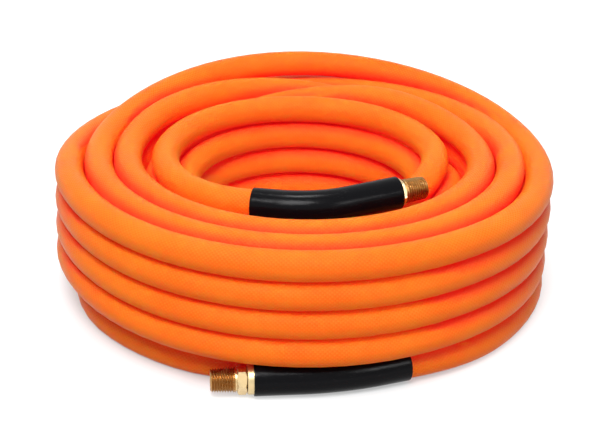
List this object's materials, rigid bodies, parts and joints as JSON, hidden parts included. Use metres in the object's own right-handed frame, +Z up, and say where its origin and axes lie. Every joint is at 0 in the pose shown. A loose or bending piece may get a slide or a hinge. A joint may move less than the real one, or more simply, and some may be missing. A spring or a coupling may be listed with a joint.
{
  "type": "coiled air hose",
  "caption": "Reinforced PVC compressed-air hose wound flat in a layered coil, with a crimped male pipe fitting and a plain bend-restrictor sleeve on both ends.",
  "frame": {"origin": "middle of the bounding box in plan, on the floor that the coil lies on", "axes": "+Z up through the coil's middle, -Y towards the side where both fittings lie, +X to the right seen from that side"},
  "size_m": [0.2998, 0.3016, 0.0954],
  "materials": {
    "hose_cover": "satin orange PVC",
    "hose_liner": "plain natural PVC",
    "hose_braid": "woven polyester yarn",
    "brass": "machined brass",
    "ferrule_brass": "drawn and crimped brass",
    "sleeve_plastic": "glossy black vinyl"
  },
  "bodies": {
    "root": {"hose_coil": "hose_cover", "inner_hose_liner": "hose_liner", "inner_hose_braid": "hose_braid", "inner_hose_cover": "hose_cover", "inner_fitting": "brass", "inner_ferrule": "ferrule_brass", "inner_sleeve": "sleeve_plastic", "outer_hose_liner": "hose_liner", "outer_hose_braid": "hose_braid", "outer_hose_cover": "hose_cover", "outer_fitting": "brass", "outer_ferrule": "ferrule_brass", "outer_sleeve": "sleeve_plastic"}
  },
  "joints": []
}
